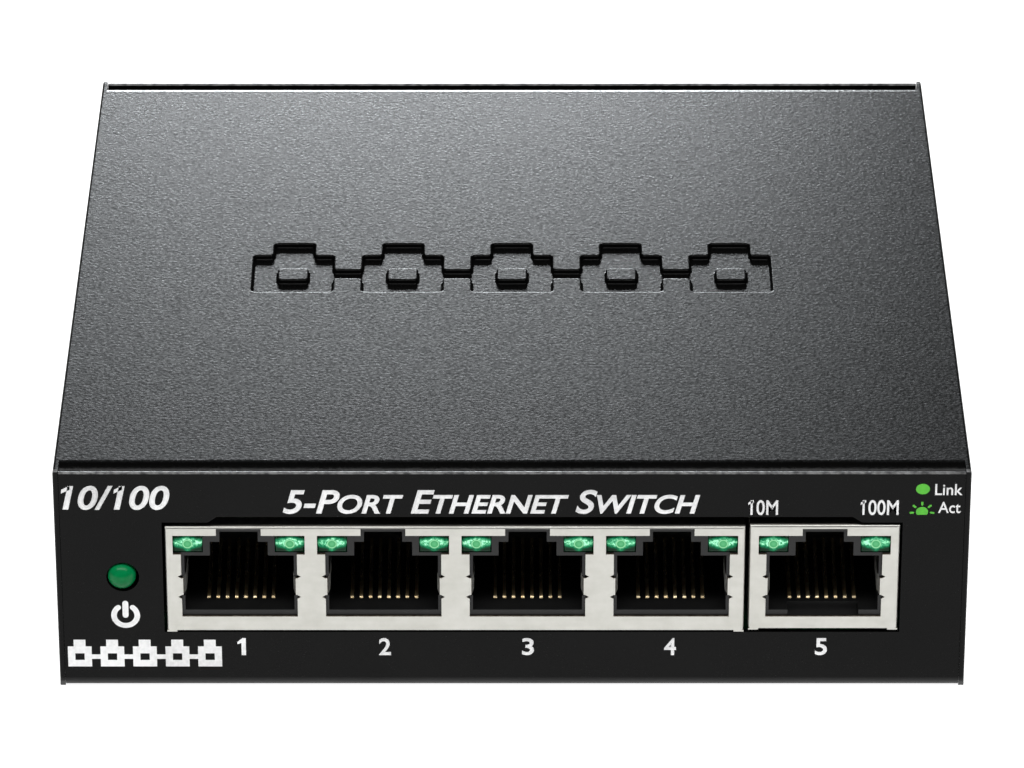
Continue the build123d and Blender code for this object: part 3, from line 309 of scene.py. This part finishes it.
def power_lamp():
    """A diffused green dome, with painted shade: darker towards the bottom and lighter towards the top."""
    lens = Surface(
        "green_led", Roughness=0.2, IOR=1.5, Specular_IOR_Level=0.12,
        Subsurface_Weight=0.15, Subsurface_Scale=0.3 * MM,
    )
    lens.shader.inputs["Subsurface Radius"].default_value = (0.2, 1.0, 0.5)
    # Painted shade: the colour runs from dark green at the dome's bottom to lighter green at its top.
    height = lens.generated("Z")
    cloud = lens.noise(0.5 * MM, detail=2.0)
    shade = lens.calculate("ADD", height, lens.calculate("MULTIPLY", cloud, 0.25))
    colour = lens.ramp(
        shade,
        (0.25, (0.0, 0.075, 0.02)),
        (0.65, (0.0, 0.155, 0.042)),
        (1.0, (0.002, 0.23, 0.07)),
    )
    lens.put(colour, "Base Color")
    lens.bump(cloud, 0.02 * MM, 0.3)
    return lens.material


def legend(name, bright, dim):
    """Screen-printed ink: dense, slightly uneven, with a dry matt face."""
    ink = Surface(name, Specular_IOR_Level=0.3)
    cover = ink.noise(0.5 * MM, detail=3.0, roughness=0.6)
    drift = ink.noise(6 * MM, detail=1.0)
    half_cover = ink.calculate("MULTIPLY", cover, 0.5)
    half_drift = ink.calculate("MULTIPLY", drift, 0.5)
    amount = ink.calculate("ADD", half_cover, half_drift)
    ink.put(ink.ramp(amount, (0.3, dim), (0.6, bright)), "Base Color")
    ink.put(ink.fit(cover, 0.3, 0.7, 0.5, 0.7), "Roughness")
    ink.bump(cover, 0.004 * MM, 0.5)
    return ink.material


def board_laminate():
    """Green solder mask over a glass weave, with darker tracks beneath."""
    board = Surface("board_laminate", Specular_IOR_Level=0.5)
    tracks = board.cells(2.2 * MM)
    weave = board.noise(0.3 * MM, detail=1.0, stretch=(1, 0.3, 1))
    mask = board.ramp(tracks, (0.42, (0.012, 0.085, 0.03)), (0.5, (0.02, 0.14, 0.05)))
    board.put(mask, "Base Color")
    board.put(board.fit(weave, 0.3, 0.7, 0.25, 0.4), "Roughness")
    board.bump(tracks, 0.02 * MM, 0.4)
    board.bump(weave, 0.005 * MM, 0.3)
    return board.material


def clear_film(name, bright, dim, roughness):
    """Thin sheet goods: label stock, insulating film."""
    film = Surface(name, Specular_IOR_Level=0.45)
    fibre = film.noise(0.6 * MM, detail=4.0, roughness=0.65)
    film.put(film.ramp(fibre, (0.3, dim), (0.7, bright)), "Base Color")
    film.put(film.fit(fibre, 0.3, 0.7, roughness * 0.85, roughness * 1.15), "Roughness")
    film.bump(film.noise(4 * MM, detail=2.0), 0.03 * MM, 0.4)
    return film.material


FINISHES = {
    "case_paint": textured_paint("case_paint", 0.085, 0.0025),
    "black_screw": moulded_plastic("black_screw", 0.02, 0.34, 0.6),
    "zinc_steel": smooth_metal("zinc_steel", (0.62, 0.63, 0.64), 0.34, (1, 0.2, 1)),
    "foot_rubber": moulded_plastic("foot_rubber", 0.022, 0.8, 0.25),
    "label_film": clear_film("label_film", (0.78, 0.78, 0.76), (0.70, 0.70, 0.69), 0.4),
    "board_laminate": board_laminate(),
    "insulator_sheet": clear_film("insulator_sheet", (0.10, 0.10, 0.10), (0.07, 0.07, 0.07), 0.35),
    "shield_tin": shield_tin(),
    "jack_plastic": moulded_plastic("jack_plastic", 0.007, 0.4, 0.3),
    "gold_contact": gold_contact(),
    "green_lens": jack_lamp(),
    "green_led": power_lamp(),
    "tinned_lead": smooth_metal("tinned_lead", (0.74, 0.74, 0.72), 0.3, (1, 1, 0.2)),
    "chip_epoxy": moulded_plastic("chip_epoxy", 0.018, 0.55, 0.4),
    "transformer_epoxy": moulded_plastic("transformer_epoxy", 0.012, 0.4, 0.5),
    "crystal_steel": smooth_metal("crystal_steel", (0.70, 0.70, 0.69), 0.22, (0.2, 1, 1)),
    "ferrite": moulded_plastic("ferrite", 0.035, 0.7, 0.3),
    "fuse_coating": clear_film("fuse_coating", (0.65, 0.30, 0.04), (0.55, 0.23, 0.03), 0.35),
    "capacitor_sleeve": clear_film("capacitor_sleeve", (0.02, 0.035, 0.09), (0.014, 0.025, 0.07), 0.3),
    "chip_ceramic": clear_film("chip_ceramic", (0.42, 0.30, 0.19), (0.35, 0.24, 0.15), 0.45),
    "resistor_film": moulded_plastic("resistor_film", 0.02, 0.4, 0.5),
    "legend_white": legend("legend_white", grey(0.88), grey(0.62)),
    "legend_green": legend("legend_green", (0.10, 0.50, 0.04), (0.07, 0.38, 0.03)),
}

slot_of_node = {part["node"]: part["material_slot"] for part in frame["record"]["subparts"]}
for node_name, node in frame["nodes"].items():
    node.data.materials.clear()
    node.data.materials.append(FINISHES[slot_of_node[node_name]])


# ---- Printed legends on the front panel ----

WHITE = "legend_white"
GREEN = "legend_green"
PORT_NUMBER_ZS = (4.09, 6.27)
LATER_PORT_XS = (-14.01, 1.76, 17.43, 34.08)
DIGIT_HALF_WIDTH = 0.66
SPEED_FLAGS = (-48.45, -42.72)


def add_print(name, build, slot):
    """Makes one flat print from a function that fills a bmesh in X and Z, and lays it on the panel."""
    shape = bmesh.new()
    build(shape)
    bmesh.ops.remove_doubles(shape, verts=shape.verts, dist=MERGE_DISTANCE)
    bmesh.ops.recalc_face_normals(shape, faces=shape.faces)
    flat = list(shape.faces)
    grown = bmesh.ops.extrude_face_region(shape, geom=flat)
    for vertex in grown["geom"]:
        if isinstance(vertex, bmesh.types.BMVert):
            vertex.co.y = FRONT - PRINT_THICKNESS
    bmesh.ops.recalc_face_normals(shape, faces=shape.faces)
    mesh = bpy.data.meshes.new(name)
    shape.to_mesh(mesh)
    shape.free()
    piece = bpy.data.objects.new(name, mesh)
    bpy.context.scene.collection.objects.link(piece)
    mesh.materials.append(FINISHES[slot])
    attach(piece, "root")


def add_outline(shape, points):
    """One flat face through (x, z) points, in metres."""
    shape.faces.new([shape.verts.new((x, FRONT, z)) for x, z in points])


def arc_points(centre, radii, start, end, steps):
    """Points along an arc of an ellipse, angles in degrees from +X."""
    angles = (math.radians(start + (end - start) * k / steps) for k in range(steps + 1))
    return [(centre[0] + radii[0] * math.cos(a), centre[1] + radii[1] * math.sin(a)) for a in angles]


def add_stroke(shape, path, width, cap_steps=8):
    """A band of even width along a path, with round ends."""
    path = [Vector(point) for point in path]
    sides = []
    for k, point in enumerate(path):
        direction = (path[min(k + 1, len(path) - 1)] - path[max(k - 1, 0)]).normalized()
        offset = Vector((-direction.y, direction.x)) * width / 2
        sides.append((point + offset, point - offset))
    for (left_a, right_a), (left_b, right_b) in zip(sides, sides[1:]):
        add_outline(shape, (left_a, right_a, right_b, left_b))
    for end, (left, right) in ((path[0], sides[0]), (path[-1], sides[-1][::-1])):
        first = math.degrees(math.atan2(*(left - end).yx))
        add_outline(shape, arc_points(end, (width / 2, width / 2), first, first + 180, cap_steps))


def text_mesh(text, weight, slant, small_caps):
    """Lettering in the built-in font, flat and about one unit high."""
    curve = bpy.data.curves.new("lettering", "FONT")
    curve.body = text
    curve.shear = slant
    curve.offset = weight
    curve.fill_mode = "FRONT"
    curve.small_caps_scale = SMALL_CAPS
    for letter in curve.body_format:
        letter.use_small_caps = small_caps
    holder = bpy.data.objects.new("lettering", curve)
    bpy.context.scene.collection.objects.link(holder)
    bpy.context.view_layer.update()
    depsgraph = bpy.context.evaluated_depsgraph_get()
    mesh = bpy.data.meshes.new_from_object(holder.evaluated_get(depsgraph))
    bpy.data.objects.remove(holder)
    bpy.data.curves.remove(curve)
    return mesh


def add_text(name, text, xs, zs, slot, weight=0.0, slant=0.0, small_caps=False, flags=()):
    """Lettering that fills a box on the panel, in millimetres. Each flag gives a figure 1 its upstroke."""
    mesh = text_mesh(text, weight, slant, small_caps)
    low = [min(v.co[axis] for v in mesh.vertices) for axis in (0, 1)]
    high = [max(v.co[axis] for v in mesh.vertices) for axis in (0, 1)]

    def build(shape):
        shape.from_mesh(mesh)
        for vertex in shape.verts:
            across = (vertex.co.x - low[0]) / (high[0] - low[0])
            up = (vertex.co.y - low[1]) / (high[1] - low[1])
            vertex.co = (
                (xs[0] + across * (xs[1] - xs[0])) * MM,
                FRONT,
                CASE_BOTTOM + (zs[0] + up * (zs[1] - zs[0])) * MM,
            )
        for x in flags:
            tall = zs[1] - zs[0]
            stroke = ((0.1, 0), (-0.2, -0.16), (-0.22, -0.32), (0.1, -0.16))
            add_outline(shape, [at(x + across * tall, zs[1] + down * tall) for across, down in stroke])

    add_print(name, build, slot)
    bpy.data.meshes.remove(mesh)


def at(x, z):
    """A place on the panel, from millimetres right of its centre and above its base."""
    return (x * MM, CASE_BOTTOM + z * MM)


def build_power_symbol(shape):
    """A ring that is open at the top, and a bar in the gap."""
    middle, height, radius = -42.5, 9.17, 1.28 * MM
    ring_width, bar_width = 0.62 * MM, 0.66 * MM
    bar_low, bar_high = 9.2, 10.7
    gap_left, gap_right = 128, 412
    ring = arc_points(at(middle, height), (radius, radius), gap_left, gap_right, 40)
    add_stroke(shape, ring, ring_width)
    add_stroke(shape, (at(middle, bar_low), at(middle, bar_high)), bar_width)


def build_sockets_sign(shape):
    """The sign that is pressed in the top, smaller: five socket outlines, linked in a row."""
    count, left, low = 5, -49.0, 2.64
    unit = 3.42 / 12.0
    pitch, link = 12.6 * unit, 3.4 * unit
    outer, inner, neck = 4.6 * unit, 1.8 * unit, 2.3 * unit
    hole_low, hole_high = 2.9 * unit, 5.9 * unit
    shoulder, top = 9.0 * unit, 12.0 * unit
    link_low, link_high = 3.4 * unit, 5.4 * unit
    for k in range(count):
        middle = left + outer + pitch * k
        rows = (
            (-outer, outer, 0, hole_low),
            (-outer, -inner, hole_low, hole_high),
            (inner, outer, hole_low, hole_high),
            (-outer, outer, hole_high, shoulder),
            (-neck, neck, shoulder, top),
        )
        if k < count - 1:
            rows += ((outer, outer + link, link_low, link_high),)
        for x0, x1, z0, z1 in rows:
            corners = ((x0, z0), (x1, z0), (x1, z1), (x0, z1))
            add_outline(shape, [at(middle + x, low + z) for x, z in corners])


def build_link_dot(shape):
    """A filled oval. Its last point stops one step short of its first."""
    radii = (0.76 * MM, 0.65 * MM)
    add_outline(shape, arc_points(at(44.72, 25.1), radii, 0, 345, 23))


def build_blink_symbol(shape):
    """A lamp dome with five short rays."""
    centre = at(44.7, 22.25)
    dome = (0.66 * MM, 0.62 * MM)
    first_angle, angle_step = -6, 48
    ray_ends, ray_width, squash = (0.98, 1.25), 0.24 * MM, 0.92
    add_outline(shape, arc_points(centre, dome, -35, 215, 20))
    for k in range(5):
        angle = first_angle + angle_step * k
        rings = ((r * MM, squash * r * MM) for r in ray_ends)
        ray = [arc_points(centre, radii, angle, angle + 1, 1)[0] for radii in rings]
        add_stroke(shape, ray, ray_width, 4)


def build_digit_one(shape):
    """The figure 1 with a flag and a plain foot."""
    left, right = -30.0, -29.35
    low, high = PORT_NUMBER_ZS
    outline = (
        (right, low),
        (right, high),
        (left + 0.28, high),
        (left - 0.28, high - 0.5),
        (left - 0.28, high - 0.78),
        (left + 0.16, high - 0.62),
        (left + 0.16, low),
    )
    add_outline(shape, [at(x, z) for x, z in outline])


add_print("legend_power_symbol", build_power_symbol, WHITE)
add_print("legend_sockets_sign", build_sockets_sign, WHITE)
add_print("legend_link_dot", build_link_dot, GREEN)
add_print("legend_act_symbol", build_blink_symbol, GREEN)
add_text("legend_speed", "10/100", (-49.0, -37.3), (22.5, 25.5), WHITE, 0.022, 0.2, flags=SPEED_FLAGS)
add_text("legend_title", "5-Port Ethernet Switch", (-25.0, 20.5), (22.0, 25.0), WHITE, 0.02, 0.25, True)
add_text("legend_10m", "10M", (26.0, 29.0), (21.85, 23.73), WHITE, 0.012, flags=(26.15,))
add_text("legend_100m", "100M", (38.2, 42.15), (21.85, 23.73), WHITE, 0.012, flags=(38.4,))
add_text("legend_link", "Link", (46.05, 49.05), (24.35, 25.73), WHITE, 0.01)
add_text("legend_act", "Act", (46.45, 48.9), (22.1, 23.5), WHITE, 0.01)
add_print("legend_port_1", build_digit_one, WHITE)
for number, x in enumerate(LATER_PORT_XS, 2):
    width = (x - DIGIT_HALF_WIDTH, x + DIGIT_HALF_WIDTH)
    add_text(f"legend_port_{number}", str(number), width, PORT_NUMBER_ZS, WHITE, 0.02)


# ---- Floor, lights and camera ----

def add_floor():
    """A large, flat, white glowing floor."""
    size = 6.0
    mesh = bpy.data.meshes.new("floor")
    corners = [(x * size, y * size, 0) for x, y in ((-1, -1), (1, -1), (1, 1), (-1, 1))]
    mesh.from_pydata(corners, [], [(0, 1, 2, 3)])
    floor = bpy.data.objects.new("floor", mesh)
    bpy.context.scene.collection.objects.link(floor)
    paper = Surface("floor_paper", Roughness=0.9, Specular_IOR_Level=0.1, Emission_Strength=1.0)
    fibre = paper.noise(4 * MM, detail=3.0)
    paper.put(paper.ramp(fibre, (0.3, grey(0.84)), (0.7, grey(0.86))), "Base Color")
    paper.shader.inputs["Emission Color"].default_value = (1, 1, 1, 1)
    mesh.materials.append(paper.material)


def add_light(name, place, target, size, power, tint=(1.0, 1.0, 1.0)):
    """A rectangular softbox aimed at a point."""
    lamp = bpy.data.lights.new(name, "AREA")
    lamp.shape = "RECTANGLE"
    lamp.size, lamp.size_y = size
    lamp.energy = power
    lamp.color = tint
    holder = bpy.data.objects.new(name, lamp)
    bpy.context.scene.collection.objects.link(holder)
    holder.location = place
    holder.rotation_euler = (Vector(target) - Vector(place)).to_track_quat("-Z", "Y").to_euler()


def add_camera():
    """A long lens in front of and above the object."""
    camera = bpy.data.cameras.new("camera")
    camera.lens = 223.4
    camera.sensor_width = 36.0
    holder = bpy.data.objects.new("camera", camera)
    bpy.context.scene.collection.objects.link(holder)
    holder.location = (0.0, -0.6521, 0.3643)
    holder.rotation_euler = (math.radians(61.65), 0.0, 0.0)
    bpy.context.scene.camera = holder


world = bpy.data.worlds.new("studio")
world.use_nodes = True
world.node_tree.nodes["Background"].inputs["Color"].default_value = (*grey(0.05), 1.0)
bpy.context.scene.world = world
bpy.context.scene.view_settings.view_transform = "Standard"

top_centre = (0.0, 0.0, CASE_TOP)
front_centre = (0.0, FRONT, CASE_TOP / 2)
cool_white = (0.93, 0.97, 1.0)
add_floor()
add_light("rear_softbox", (-0.06, 1.8, 0.49), top_centre, (0.36, 0.3), 18.0, cool_white)
add_light("front_strip", (0.0, -0.30, 0.75), front_centre, (1.2, 0.16), 6.0)
add_camera()
